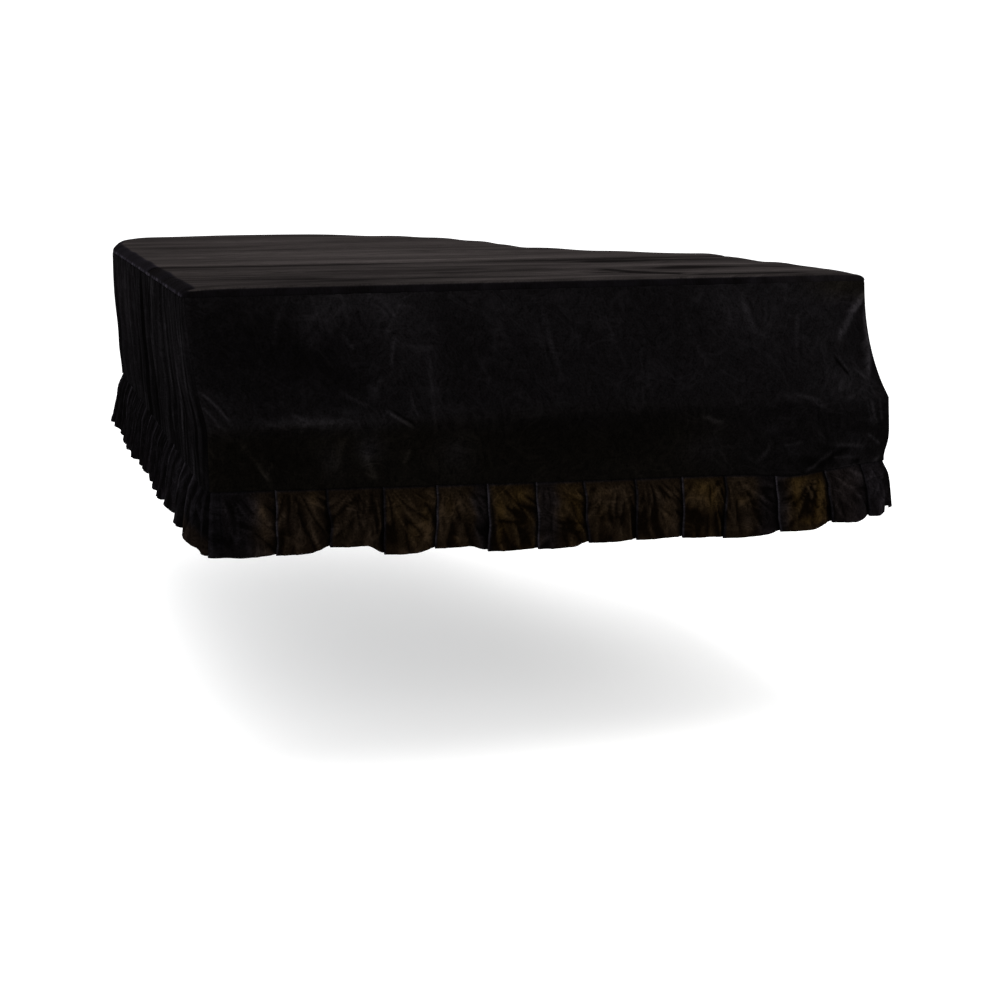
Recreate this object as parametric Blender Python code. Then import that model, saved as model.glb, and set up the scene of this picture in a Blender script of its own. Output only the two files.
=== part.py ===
"""A fitted velvet cover for a grand piano, as it hangs over the closed lid.

The cover is six sewn panels: two on top, a front drop, a gathered side skirt and a pleated
ruffle in two lengths. Each is one sheet of cloth: a grid of points on its middle surface,
given its thickness by a Solidify modifier.

Metres, +Z up. X runs across the front, Y from the front to the tail. The origin lies on the
lid's surface, under the top, halfway across the front.
"""
import bpy
import numpy as np

for thing in list(bpy.data.objects):
    bpy.data.objects.remove(thing, do_unlink=True)

# Driving sizes
CLOTH = 0.002            # thickness of the velvet, with its pile
GAP = 0.0005             # between two panels at a seam
WIDTH = 1.50             # across the front, seam to seam
ORIGIN_BACK = 1.05       # the origin lies this far behind the front seam
CORNER_RADIUS = 0.018    # the two front corners, in plan
SEAM_BACK = 0.650        # cross seam of the top, behind the front seam
ROLL_SIDE = 0.030        # the top turns down over the lid's edge within this width
ROLL_FRONT = 0.010       # the same along the front, where the cloth is pulled tight
ROLL_DROP = 0.014        # the top's seam hangs this far below the lid
BREAK_DROP = 0.254       # the front drop slopes out to the key slip at this depth
REACH = 0.144            # and reaches this far forward of the front seam there
REACH_FADE = 0.42        # the side skirt follows it over this length of the side
TUCK = 0.0145            # the skirt hangs this far in under the lid's edge
CORNER_LOOSE = 0.60      # share of the tuck that the cloth lacks low down at the right corner
ARM_LEFT = 0.30          # share of the reach that the left corner has over the piano's arm

# The straight side meets the tail, and the tail the bent side, on this line, seen from above.
# It starts at the right-hand end of the front and ends at the left-hand one.
BENT_SIDE = [  # x, y
    (1.500, 0.600), (1.500, 0.700), (1.498, 0.755), (1.479, 0.815), (1.434, 0.868), (1.365, 0.926),
    (1.284, 1.010),
    (1.206, 1.115), (1.150, 1.240), (1.130, 1.380), (1.119, 1.520), (1.082, 1.690), (1.014, 1.822),
    (0.915, 1.972), (0.800, 2.092), (0.630, 2.172), (0.450, 2.200), (0.290, 2.176),
    (0.150, 2.112), (0.062, 1.985), (0.018, 1.810), (0.000, 1.640), (0.000, 1.500),
]

# Depth of the ruffle's seam below the lid, along the rim from the left front corner.
RUFFLE_SEAM = [  # metres along the rim, depth
    (0.00, 0.368), (0.75, 0.392), (1.00, 0.398), (1.15, 0.403), (1.25, 0.412), (1.34, 0.405),
    (1.47, 0.393), (1.62, 0.393), (1.95, 0.396), (2.40, 0.398), (3.20, 0.384),
    (4.30, 0.376), (5.20, 0.370), (6.10, 0.366), (6.68, 0.368),
]

# Depth of the side ruffle's hem, which wanders a little from pleat to pleat.
SIDE_HEM = [  # metres along the rim, depth
    (1.46, 0.490), (1.60, 0.514), (1.85, 0.534), (2.50, 0.528), (3.20, 0.516), (4.30, 0.508),
    (4.90, 0.518), (5.30, 0.524), (5.80, 0.506), (6.30, 0.498), (6.55, 0.487), (6.80, 0.492),
]

# Knife pleats of the front ruffle: where each fold edge stands, how deep the hem hangs below
# the lid there, and how far the panel to its right stands out at the hem.
FRONT_PLEATS = [  # x, hem, swell
    (0.030, 0.494, 0.016), (0.138, 0.496, 0.012), (0.240, 0.487, 0.020), (0.355, 0.510, 0.017),
    (0.466, 0.506, 0.012), (0.573, 0.520, 0.019), (0.679, 0.524, 0.014), (0.784, 0.519, 0.018),
    (0.900, 0.521, 0.013), (1.008, 0.524, 0.020), (1.109, 0.532, 0.015), (1.231, 0.528, 0.013),
    (1.351, 0.516, 0.022), (1.440, 0.508, 0.026),
]

# Broad, shallow swells of the front drop: centre across and below, size, and height.
FRONT_SWELLS = [  # x, depth, half_width, half_height, lean, height
    (0.16, 0.21, 0.09, 0.030, 0.9, 0.006), (0.33, 0.12, 0.06, 0.090, -0.5, 0.004),
    (0.55, 0.17, 0.04, 0.120, -0.2, 0.003), (0.74, 0.24, 0.22, 0.030, 0.0, 0.004),
    (1.02, 0.13, 0.07, 0.100, 0.4, -0.003), (1.22, 0.20, 0.12, 0.050, 0.5, 0.005),
    (1.37, 0.33, 0.10, 0.035, -0.7, 0.007), (0.26, 0.34, 0.10, 0.030, 0.4, -0.004),
    (0.90, 0.33, 0.16, 0.030, 0.1, 0.003),
]

CORNER_GAP = 0.0008      # between two panels at a corner, where they turn towards each other
CORNER_STEPS = np.array([0.0, 0.002, 0.007, 0.0141])  # columns of cloth next to a corner seam
SKIRT_ROWS = (0.09, 0.19, 0.228, 0.262)  # depths of the skirt's rows, seam to seam
SIDE_GATHER = 0.085      # mean width of a gather of the side skirt
PLEAT_HEIGHT = 0.0085    # how far a knife pleat's fold stands over the panel it laps
CORNER_FLARE = 0.014     # how far the ruffle's hem stands out at a front corner
SIDE_PLEAT = 0.118       # mean width of a pleat of the side ruffle
TAIL_FLARE = 0.014       # how much further the ruffle stands out where the straight side meets the tail


def smooth(start, end, value):
    """0 before start, 1 after end, an S-curve between."""
    t = np.clip((np.asarray(value, float) - start) / (end - start), 0.0, 1.0)
    return t * t * (3.0 - 2.0 * t)


def through(points, steps):
    """A smooth curve through the points, with steps points to each stretch."""
    points = np.array(points)
    before = np.vstack([2.0 * points[0] - points[1], points, 2.0 * points[-1] - points[-2]])
    t = np.linspace(0.0, 1.0, steps, endpoint=False)[:, None]
    curve = []
    for a, b, c, d in zip(before, before[1:], before[2:], before[3:]):
        curve.append(0.5 * (2.0 * b + (c - a) * t + (2.0 * a - 5.0 * b + 4.0 * c - d) * t**2
                            + (3.0 * b - a - 3.0 * c + d) * t**3))
    return np.vstack(curve + [points[-1:]])


def arc(center, radius, start, end, steps=9):
    """Points on a circle, angles in degrees from +X."""
    angle = np.radians(np.linspace(start, end, steps))
    return np.array(center) + radius * np.column_stack([np.cos(angle), np.sin(angle)])


class Rim:
    """The top's seam seen from above, measured from the middle of the left front corner."""

    def __init__(self):
        r = CORNER_RADIUS
        left, right = (r, r), (WIDTH - r, r)
        front = np.vstack([arc(left, r, 225, 270), arc(right, r, 270, 315)])
        back = np.vstack([arc(right, r, 315, 360), through(BENT_SIDE, 12), arc(left, r, 180, 225)])
        path = np.vstack([front, back[1:]])
        lengths = np.append(0.0, np.cumsum(np.linalg.norm(np.diff(path, axis=0), axis=1)))
        front_lengths = np.linalg.norm(np.diff(front, axis=0), axis=1)
        self.path, self.lengths = path, lengths
        self.front_end = front_lengths.sum()
        self.end = lengths[-1]

    def at(self, s):
        """The points and the outward directions at the distances s along the rim."""
        step = 0.004
        along = self.points((s + step) % self.end) - self.points((s - step) % self.end)
        along /= np.linalg.norm(along, axis=-1, keepdims=True)
        return self.points(s), np.stack([along[..., 1], -along[..., 0]], -1)

    def points(self, s):
        """The points at the distances s along the rim."""
        return np.stack([np.interp(s, self.lengths, self.path[:, k]) for k in (0, 1)], -1)

    def behind_front(self, y, side):
        """The distance along the rim to the point y behind the front, on the left or right side."""
        return self.end - (y - CORNER_RADIUS) - self.corner() if side == "left" else \
            self.front_end + (y - CORNER_RADIUS) + self.corner()

    @staticmethod
    def corner():
        """Length of half a front corner."""
        return CORNER_RADIUS * np.pi / 4.0


RIM = Rim()


def reach(x, y, depth):
    """How far forward the cloth stands at a depth: the front slopes out over the key end.

    At the two front corners it first hangs down the piano's arms, then swings out below them.
    """
    sloped = REACH * smooth(-0.6 * BREAK_DROP, 1.06 * BREAK_DROP, depth)
    straight = REACH * np.clip(depth / BREAK_DROP, 0.0, 1.0)
    middle = np.where(depth < 0.75 * BREAK_DROP, straight, np.minimum(straight, sloped))
    left_arm = ARM_LEFT * np.clip(depth / 0.20, 0.0, 1.0) + (1.0 - ARM_LEFT) * smooth(0.185, 0.262, depth)
    right_arm = np.clip(depth / BREAK_DROP, 0.0, 1.0)**2.0
    arm = REACH * np.where(x < WIDTH / 2.0, left_arm, right_arm)
    near_corner = 1.0 - smooth(0.02, 0.13, np.minimum(x, WIDTH - x))
    share = 1.0 - smooth(0.0, REACH_FADE, y)
    return share * (middle + near_corner * (arm - middle))


def place(x, y, z):
    """From the rim's own coordinates to the model's, with the front's slope added."""
    depth = np.maximum(-z, 0.0)
    return np.stack([x - WIDTH / 2.0, y - reach(x, y, depth) - ORIGIN_BACK, z + 0.0 * x], -1)


def along(table, s):
    """The depth at the distances s along the rim, on a smooth line through a table."""
    line = through(table, 8)
    return np.interp(s, line[:, 0], line[:, 1])


def seam_depth(s):
    """Depth of the ruffle's seam."""
    return along(RUFFLE_SEAM, s)


def uneven_widths(total, mean, spread, seed):
    """Edges of folds of uneven width that fill a length."""
    count = round(total / mean)
    widths = np.random.RandomState(seed).uniform(1.0 - spread, 1.0 + spread, count)
    return np.append(0.0, np.cumsum(widths)) * total / widths.sum()


def lid_height(x, y):
    """Height of the top's middle surface: it lies on the lid, in long shallow streaks."""
    streaks = 0.0012 * np.sin(17.0 * y + 1.9 * x) + 0.0009 * np.sin(31.0 * y - 2.6 * x + 1.0)
    tail = 0.004 * smooth(1.0, 2.0, y)
    from_corner = np.hypot(np.minimum(x, WIDTH - x), y)
    return CLOTH / 2.0 + 0.0022 + streaks + tail - 0.006 * np.exp(-(from_corner / 0.05)**2)


def sheet(name, grid, colour):
    """A panel from a grid of points, with its cells as quads."""
    rows, columns = grid.shape[:2]
    index = np.arange(rows * columns).reshape(rows, columns)
    quads = np.stack([index[:-1, :-1], index[:-1, 1:], index[1:, 1:], index[1:, :-1]], -1).reshape(-1, 4)
    return solid(name, grid.reshape(-1, 3), [tuple(q) for q in quads.tolist()], colour)


def solid(name, points, faces, colour):
    """A sheet of cloth with its thickness."""
    mesh = bpy.data.meshes.new(name)
    mesh.from_pydata(points.tolist(), [], faces)
    mesh.validate()
    mesh.shade_smooth()
    panel = bpy.data.objects.new(name, mesh)
    bpy.context.collection.objects.link(panel)
    thickness = panel.modifiers.new("cloth", "SOLIDIFY")
    thickness.thickness = CLOTH
    thickness.offset = 0.0
    mesh.materials.append(velvet(name, colour))
    return panel


def velvet(name, colour):
    """Dark velvet, with the sheen of its pile."""
    material = bpy.data.materials.new(name + "_velvet")
    material.use_nodes = True
    shader = material.node_tree.nodes["Principled BSDF"]
    shader.inputs["Base Color"].default_value = (*colour, 1.0)
    shader.inputs["Roughness"].default_value = 0.9
    shader.inputs["Metallic"].default_value = 0.0
    shader.inputs["Sheen Weight"].default_value = 0.6
    return material


# Top: an inner grid, and a border that rolls over the lid's edge on three sides.

def patch(left, far, right, near):
    """A grid between four curves that meet at their ends (a Coons patch)."""
    v = np.linspace(0.0, 1.0, len(left))[:, None, None]
    u = np.linspace(0.0, 1.0, len(far))[None, :, None]
    across = left[:, None] * (1.0 - u) + right[:, None] * u
    along = near[None] * (1.0 - v) + far[None] * v
    corners = (near[0] * (1 - u) * (1 - v) + near[-1] * u * (1 - v) + far[0] * (1 - u) * v + far[-1] * u * v)
    return across + along - corners


def top_panel(name, rings, rows, colour):
    """A top panel from its border's rings, the innermost first, which turn down in even steps."""
    turns = np.linspace(0.0, np.pi / 2.0, len(rings))
    inner = rings[0]
    left, far, right = inner[:rows], inner[rows - 1:len(inner) - rows + 1], inner[len(inner) - rows:][::-1]
    near = np.linspace(left[0], right[0], len(far))
    flat = patch(left, far, right, near)
    height = lid_height(flat[..., 0], flat[..., 1])
    points = [place(flat[..., 0], flat[..., 1], height).reshape(-1, 3)]
    lifted = lid_height(inner[:, 0], inner[:, 1])
    for ring, turn in zip(rings[1:], turns[1:]):
        drop = 1.0 - np.cos(turn)
        points.append(place(ring[:, 0], ring[:, 1], lifted * (1.0 - drop) - ROLL_DROP * drop))
    index = np.arange(flat.shape[0] * flat.shape[1]).reshape(flat.shape[:2])
    faces = np.stack([index[:-1, :-1], index[1:, :-1], index[1:, 1:], index[:-1, 1:]], -1).reshape(-1, 4)
    inner_ring = np.concatenate([index[:, 0], index[-1, 1:-1], index[::-1, -1]])
    outer = index.size + np.arange((len(rings) - 1) * len(inner)).reshape(len(rings) - 1, -1)
    loops = np.vstack([inner_ring, outer])
    border = np.stack([loops[:-1, :-1], loops[1:, :-1], loops[1:, 1:], loops[:-1, 1:]], -1).reshape(-1, 4)
    return solid(name, np.vstack(points), [tuple(f) for f in np.vstack([faces, border]).tolist()], colour)


def front_ring(side_inset, front_inset, radius, rows, columns):
    """The top front panel's edge drawn in: down the left side, along the front, up the right."""
    back = SEAM_BACK - GAP / 2.0
    left, right = side_inset, WIDTH - side_inset
    side = np.linspace(back, front_inset + radius, rows)
    front = np.linspace(left + radius, right - radius, columns)
    down = np.column_stack([np.full(rows, left), side])
    along = np.column_stack([front, np.full(columns, front_inset)])
    up = np.column_stack([np.full(rows, right), side[::-1]])
    turn_left = arc((left + radius, front_inset + radius), radius, 180, 270, 5)[1:-1]
    turn_right = arc((right - radius, front_inset + radius), radius, 270, 360, 5)[1:-1]
    return np.vstack([down, turn_left, along, turn_right, up])


def build_top_front(colour):
    """The panel over the lid's front flap."""
    rows, columns, turns = 7, 17, np.linspace(0.0, np.pi / 2.0, 4)
    rings = [front_ring(ROLL_SIDE * (1 - np.sin(t)), ROLL_FRONT * (1 - np.sin(t)),
                        0.004 + (CORNER_RADIUS - 0.004) * np.sin(t), rows, columns) for t in turns]
    return top_panel("top_front", rings, rows + 2, colour)


def build_top_main(colour):
    """The panel over the rest of the lid, with its rounded tail."""
    start = RIM.behind_front(SEAM_BACK + GAP / 2.0, "left")
    end = RIM.behind_front(SEAM_BACK + GAP / 2.0, "right")
    rows, columns = 15, 13
    tail_left, tail_right = RIM.end - 2.12, RIM.end - 3.30
    s = np.concatenate([np.linspace(start, tail_left, rows)[:-1], np.linspace(tail_left, tail_right, columns),
                        np.linspace(tail_right, end, rows)[1:]])
    edge, outward = RIM.at(s)
    rings = [edge - outward * ROLL_SIDE * (1.0 - np.sin(t)) for t in np.linspace(0.0, np.pi / 2.0, 4)]
    return top_panel("top_main", rings, rows, colour)


# Front drop and side skirt: rows run round the cover, from the top's seam to the ruffle's.

def hanging(s, out, z):
    """Points that hang below the rim at the distances s, stood out from it by out.

    All round the cover they are also tucked in under the lid's edge: towards its middle along the
    front and at the corners, and square to the rim elsewhere.
    """
    edge, outward = RIM.at(s)
    inward = -outward
    sideways = np.clip((WIDTH / 2.0 - edge[..., 0]) / (WIDTH / 2.0 - CORNER_RADIUS), -1.0, 1.0)
    front = edge[..., 1] < CORNER_RADIUS
    inward = np.where(front[..., None], np.stack([sideways, 0.0 * sideways], -1), inward)
    right_corner = smooth(WIDTH - 0.12, WIDTH - 0.02, edge[..., 0]) * (1.0 - smooth(0.05, 0.40, edge[..., 1]))
    tuck = TUCK * smooth(0.03, 0.26, -z) * (1.0 - CORNER_LOOSE * right_corner * smooth(0.22, 0.36, -z))
    x, y = (edge[..., k] + outward[..., k] * out + inward[..., k] * tuck for k in (0, 1))
    return place(x, y, z)


def skirt_depth(s):
    """Depths of the skirt's rows at the distances s: the same for both pieces at a corner."""
    rows = [ROLL_DROP + GAP + 0.0 * s] + [row + 0.0 * s for row in SKIRT_ROWS] + [seam_depth(s) - GAP / 2.0]
    return np.stack(rows)


def front_swell(x, depth):
    """The broad folds of the front drop."""
    height = 0.0 * (x + depth)
    for center, middle, half_width, half_height, lean, rise in FRONT_SWELLS:
        across = (x - center) / half_width
        down = (depth - middle - lean * (x - center) * 0.4) / half_height
        height = height + rise * np.exp(-across**2 - down**2)
    return height


def build_skirt_front(colour):
    """The plain front drop, which slopes out over the key end and then falls straight."""
    inset = CORNER_GAP / 2.0
    s = np.linspace(inset, RIM.front_end - inset, 31)
    s = np.concatenate([inset + CORNER_STEPS, s[1:-1], (RIM.front_end - inset - CORNER_STEPS)[::-1]])
    depth = skirt_depth(s)
    x = RIM.at(s)[0][..., 0]
    away = smooth(0.0, 0.10, s) * (1.0 - smooth(RIM.front_end - 0.10, RIM.front_end, s))
    settle = smooth(depth[0], depth[0] + 0.05, depth) * (1.0 - smooth(depth[-1] - 0.04, depth[-1], depth))
    out = front_swell(x, depth) * away * settle
    return sheet("skirt_front", hanging(s + 0.0 * depth, out, -depth), colour)


def build_skirt_side(colour):
    """The gathered skirt: each gather is a trough, a flank, a crest and a flank."""
    start, end = RIM.front_end + CORNER_GAP / 2.0, RIM.end - CORNER_GAP / 2.0
    edges = start + uneven_widths(end - start, SIDE_GATHER, 0.45, seed=4)
    crests = np.random.RandomState(9).uniform(0.55, 1.0, len(edges) - 1)
    step = np.arange(4) / 4.0
    s = (edges[:-1, None] + np.diff(edges)[:, None] * step).ravel()[1:]
    wave = ((0.5 - 0.5 * np.cos(2.0 * np.pi * step)) * crests[:, None]).ravel()[1:]
    s = np.concatenate([start + CORNER_STEPS, s, (end - CORNER_STEPS)[::-1]])
    wave = np.concatenate([0.0 * CORNER_STEPS, wave, 0.0 * CORNER_STEPS])
    depth = skirt_depth(s)
    fullness = 0.0015 + 0.0140 * smooth(0.0, 0.19, depth)
    out = fullness * wave * (1.0 - 0.45 * smooth(0.28, 0.37, depth))
    return sheet("skirt_side", hanging(s + 0.0 * depth, out, -depth), colour)


# Ruffle: knife pleats, each a panel whose left edge folds back over the end of the last one.

PLEAT = [  # place across the pleat, lap to the left in metres, height
    (0.00, -0.006, 1.00), (0.07, 0.000, 1.04), (0.36, 0.0, 0.72), (0.68, 0.0, 0.42),
    (0.93, 0.0, 0.02), (1.00, 0.005, 0.00), (1.00, 0.008, 0.42),
]


def ruffle(name, edges, hems, flares, swells, limits, colour):
    """A pleated strip between two limits, from its fold edges, hem depths, flares and swells."""
    table = np.array(PLEAT)
    widths = np.diff(edges)
    s = edges[:-1, None] + widths[:, None] * table[:, 0] + table[:, 1]
    fold = np.ones_like(widths)[:, None] * table[:, 2]
    share_across = table[:, 0] * np.ones_like(widths)[:, None]
    hem = hems[:-1, None] + (hems[1:] - hems[:-1])[:, None] * smooth(0.55, 1.0, share_across)
    swell = swells[:, None] * np.sin(np.pi * np.clip(share_across * 0.9 + 0.08, 0.0, 1.0))
    s, fold, hem, swell = (grid.ravel() for grid in (s, fold, hem, swell))
    inside = (s > limits[0] + CORNER_STEPS[-1]) & (s < limits[1] - CORNER_STEPS[-1])
    s = np.concatenate([limits[0] + CORNER_STEPS, s[inside], (limits[1] - CORNER_STEPS)[::-1]])
    ends = np.ones(len(CORNER_STEPS))
    fold, hem, swell = (np.concatenate([g[0] * ends, g[inside], g[-1] * ends]) for g in (fold, hem, swell))
    flare = np.interp(s, edges, flares)
    share = np.linspace(0.0, 1.0, 3)[:, None]
    top = seam_depth(s) + GAP / 2.0
    depth = top + share * (hem - top)
    out = PLEAT_HEIGHT * fold * (0.65 + 0.9 * share) + flare * share**0.6 + swell * share**1.3
    from_corner = np.minimum(s - limits[0], limits[1] - s)
    away = smooth(CORNER_STEPS[-1], 0.06, from_corner)
    out = out * away + CORNER_FLARE * share * (1.0 - away)
    return sheet(name, hanging(s + 0.0 * share, out, -depth), colour)


def build_ruffle_front(colour):
    """The front ruffle, whose fold edges and hem follow their own table."""
    table = np.array(FRONT_PLEATS)
    edges = np.append(table[:, 0], WIDTH - 0.004)
    edges = edges - CORNER_RADIUS + RIM.corner()
    hems = np.append(table[:, 1], SIDE_HEM[0][1])
    limits = (CORNER_GAP / 2.0, RIM.front_end - CORNER_GAP / 2.0)
    flares = 0.004 + 0.0 * edges
    return ruffle("ruffle_front", edges, hems, flares, table[:, 2], limits, colour)


def build_ruffle_side(colour):
    """The side ruffle, with narrower pleats of uneven width and a wavy hem."""
    start, end = RIM.front_end + CORNER_GAP / 2.0, RIM.end - CORNER_GAP / 2.0
    edges = start + uneven_widths(end - start, SIDE_PLEAT, 0.28, seed=12)
    chance = np.random.RandomState(15)
    hems = along(SIDE_HEM, edges) + np.append(0.0, chance.uniform(-0.008, 0.008, len(edges) - 1))
    swells = chance.uniform(0.008, 0.022, len(edges) - 1)
    flares = 0.009 + TAIL_FLARE * np.exp(-((edges - (RIM.end - 1.95)) / 0.30)**2)
    return ruffle("ruffle_side", edges, hems, flares, swells, (start, end), colour)


TOP_COLOUR = (0.030, 0.026, 0.024)
SKIRT_COLOUR = (0.012, 0.012, 0.016)
RUFFLE_COLOUR = (0.026, 0.018, 0.011)

build_top_front(TOP_COLOUR)
build_top_main(TOP_COLOUR)
build_skirt_front(SKIRT_COLOUR)
build_skirt_side(SKIRT_COLOUR)
build_ruffle_front(RUFFLE_COLOUR)
build_ruffle_side(RUFFLE_COLOUR)
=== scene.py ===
import math
import bpy
import numpy as np
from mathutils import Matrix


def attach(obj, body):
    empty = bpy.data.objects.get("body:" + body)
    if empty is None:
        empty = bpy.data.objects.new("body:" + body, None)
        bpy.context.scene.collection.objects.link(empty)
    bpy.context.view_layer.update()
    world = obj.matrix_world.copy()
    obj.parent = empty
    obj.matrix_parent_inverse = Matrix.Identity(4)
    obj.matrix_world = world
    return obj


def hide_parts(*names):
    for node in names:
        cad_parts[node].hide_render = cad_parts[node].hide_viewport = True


# A fitted velvet cover for a grand piano, as it hangs over the closed lid. Metres, +Z up.
# Each cloth is a grid of points on its middle surface, worked out with numpy as a whole, and a Solidify
# modifier gives it its thickness. The plan's own coordinates are x across the front and y behind the
# front seam; s runs along the rim from the middle of the left front corner, and depth is measured down
# from the lid. Lists are in millimetres, and a row is one of these:
# crease or line: start (x, y or depth), end, bow, half width, then height or percent of light
# swell or patch: centre (x, y or depth), half sizes, height or percent of light, and a lean if any

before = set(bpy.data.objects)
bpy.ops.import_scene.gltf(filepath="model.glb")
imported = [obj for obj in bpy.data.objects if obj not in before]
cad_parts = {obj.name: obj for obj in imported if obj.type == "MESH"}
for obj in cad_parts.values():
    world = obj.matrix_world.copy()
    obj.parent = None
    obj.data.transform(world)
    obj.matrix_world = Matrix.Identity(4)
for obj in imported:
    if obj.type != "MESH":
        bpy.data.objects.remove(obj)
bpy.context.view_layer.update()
print("frame loaded,", len(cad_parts), "nodes")

# The cover's driving sizes.
cover = {
    "width": 1.5,  # across the front, seam to seam
    "originBack": 1.05,  # the origin lies this far behind the front seam
    "cloth": 0.0015,  # thickness of the velvet as it shows
    "solidCloth": 0.002,  # thickness of the solids' cloth
    "cornerRadius": 0.018,  # the two front corners, in plan
    "seamBack": 0.65,  # cross seam of the top, behind the front seam
    "gap": 0.0005,  # between the solids at a seam
    "cornerGap": 0.0008,  # and at a corner
    "rollSide": 0.03,  # the top turns down over the lid's edge within this width
    "rollFront": 0.01,  # the same along the front
    "rollDrop": 0.014,  # the top's seam hangs this far below the lid
    "overlap": 0.004,  # the skirts start this far above that seam, behind the top's edge
    "breakDrop": 0.254,  # the front slopes out to the key slip at this depth
    "reach": 0.144,  # and reaches this far forward there
    "reachFade": 0.42,  # the side follows it over this length
    "tuck": 0.0145,  # the skirt hangs this far in under the lid's edge
    "cornerLoose": 0.6,  # share of it that is lacking low down at the right corner
    "cornerTurn": 0.011,  # which turns in this much more just above the ruffle
    "turnDepth": 0.385,  # at this depth
    "armLeft": 0.3,  # share of the reach at the left corner, over the piano's arm
    "underlap": 0.006,  # a side cloth runs on this far past a corner, behind the front one
}

bentSide = [  # x, y of the rim's right side, bent side, tail and left side
    (1500, 600), (1500, 700), (1498, 755), (1479, 815), (1434, 868), (1365, 926), (1284, 1010),
    (1206, 1115), (1150, 1240), (1130, 1380), (1119, 1520), (1082, 1690), (1014, 1822), (915, 1972),
    (800, 2092), (630, 2172), (450, 2200), (290, 2176), (150, 2112), (62, 1985), (18, 1810), (0, 1640),
    (0, 1500),
]
ruffleSeam = [  # distance along the rim, depth
    (0, 368), (750, 392), (1000, 398), (1150, 403), (1250, 412), (1340, 405), (1470, 393), (1620, 393),
    (1950, 396), (2400, 398), (3200, 384), (4300, 376), (5200, 370), (6100, 366), (6680, 368),
]


# Smooth steps, curves and noise.

def smooth(start, end, value):
    # 0 before start, 1 after end, and t * t * (3 - 2 * t) between
    t = np.clip((np.asarray(value, float) - start) / (end - start), 0, 1)
    return t * t * (3 - 2 * t)


def fade(start, end, value):
    return 1 - smooth(start, end, value)


def bell(value, center, width):
    return np.exp(-((value - center) / width)**2)


def through(points, steps):
    # a smooth curve: a cubic on each stretch, its slope at a point that of the line between neighbours
    line = np.vstack([2 * points[0] - points[1], points, 2 * points[-1] - points[-2]])[:, None]
    a, b, c, d = line[:-3], line[1:-2], line[2:-1], line[3:]
    t = np.linspace(0, 1, steps, endpoint=False)[:, None]
    curve = 0.5 * (2 * b + (c - a) * t + (2 * a - 5 * b + 4 * c - d) * t**2
                   + (3 * b - a - 3 * c + d) * t**3)
    return np.vstack([*curve, points[-1:]])


def arc(center, radius, start, end, steps=9):
    # points on a circle, angles in degrees from +X
    angle = np.radians(np.linspace(start, end, steps))
    return np.array(center) + radius * np.column_stack([np.cos(angle), np.sin(angle)])


def noise(u, v, seed):
    # about -1 to 1: a random slope at each whole u and v, blended between by smooth steps
    turn = np.random.RandomState(seed).uniform(0, 2 * np.pi, (64, 64))
    u, v = np.broadcast_arrays(np.asarray(u, float), np.asarray(v, float))
    cellU, cellV = np.floor(u).astype(int), np.floor(v).astype(int)
    partU, partV = u - cellU, v - cellV
    blendU, blendV = smooth(0, 1, partU), smooth(0, 1, partV)
    total = np.zeros(u.shape)
    for du, dv in ((0, 0), (1, 0), (0, 1), (1, 1)):
        angle = turn[(cellU + du) % 64, (cellV + dv) % 64]
        slope = np.cos(angle) * (partU - du) + np.sin(angle) * (partV - dv)
        total += (blendU if du else 1 - blendU) * (blendV if dv else 1 - blendV) * slope
    return 1.6 * total


def ridges(u, v, seed):
    # sharp winding lines where the noise is 0, each 0 to 1
    return np.clip(1 - 2.6 * np.abs(noise(u, v, seed)), 0, 1)**2


def blobs(u, v, table, unit=100):
    # soft patches: strength * exp(-(du / halfU)^2 - (dv / halfV)^2), turned by lean
    total = np.zeros(np.broadcast(u, v).shape)
    for row in table:
        centerU, centerV, halfU, halfV = np.array(row[:4]) / 1000
        strength, lean = row[4] / unit, sum(row[5:])
        along = (u - centerU) / halfU
        across = (v - centerV - lean * (u - centerU)) / halfV
        total += strength * np.exp(-along**2 - across**2)
    return total


def strokes(u, v, table, unit=100):
    # bowed lines: strength * exp(-(distance / halfWidth)^2), with ends that die away
    total = np.zeros(np.broadcast(u, v).shape)
    for *lengths, strength in table:
        startU, startV, endU, endV, bow, halfWidth = np.array(lengths) / 1000
        length = np.hypot(endU - startU, endV - startV)
        along = (endU - startU) / length, (endV - startV) / length
        t = ((u - startU) * along[0] + (v - startV) * along[1]) / length
        across = (v - startV) * along[0] - (u - startU) * along[1] - bow * 4 * t * (1 - t)
        ends = smooth(-0.05, 0.25, t) * fade(0.75, 1.05, t)
        total += strength / unit * ends * bell(across, 0, halfWidth)
    return total


def unevenEdges(start, end, mean, spread, seed):
    # edges of folds that fill a length, their widths uneven by a share of the mean
    count = round((end - start) / mean)
    widths = np.random.RandomState(seed).uniform(1 - spread, 1 + spread, count)
    return start + np.append(0, np.cumsum(widths)) * (end - start) / widths.sum()


def foldWave(s, edges, least, seed):
    # a trough at each edge and a crest between: (1 - cos(2 pi t)) / 2, times a fold's height, least to 1
    crests = np.random.RandomState(seed).uniform(least, 1, len(edges) - 1)
    which = np.clip(np.searchsorted(edges, s, side="right") - 1, 0, len(crests) - 1)
    t = np.clip((s - edges[which]) / (edges[which + 1] - edges[which]), 0, 1)
    return (0.5 - 0.5 * np.cos(2 * np.pi * t)) * crests[which]


def folds(s, start, end, mean, seed, least=0.2):
    # the same with edges that fill a length
    return foldWave(s, unevenEdges(start, end, mean, 0.5, seed), least, seed + 1)


def alongTable(table, s):
    # the depth at the distances s, on a smooth line through a table
    line = through(np.array(table) / 1000, 8)
    return np.interp(s, line[:, 0], line[:, 1])


# The rim, and how the cloth hangs from it.

cornerArc = cover["cornerRadius"] * np.pi / 4    # length of half a front corner


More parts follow.
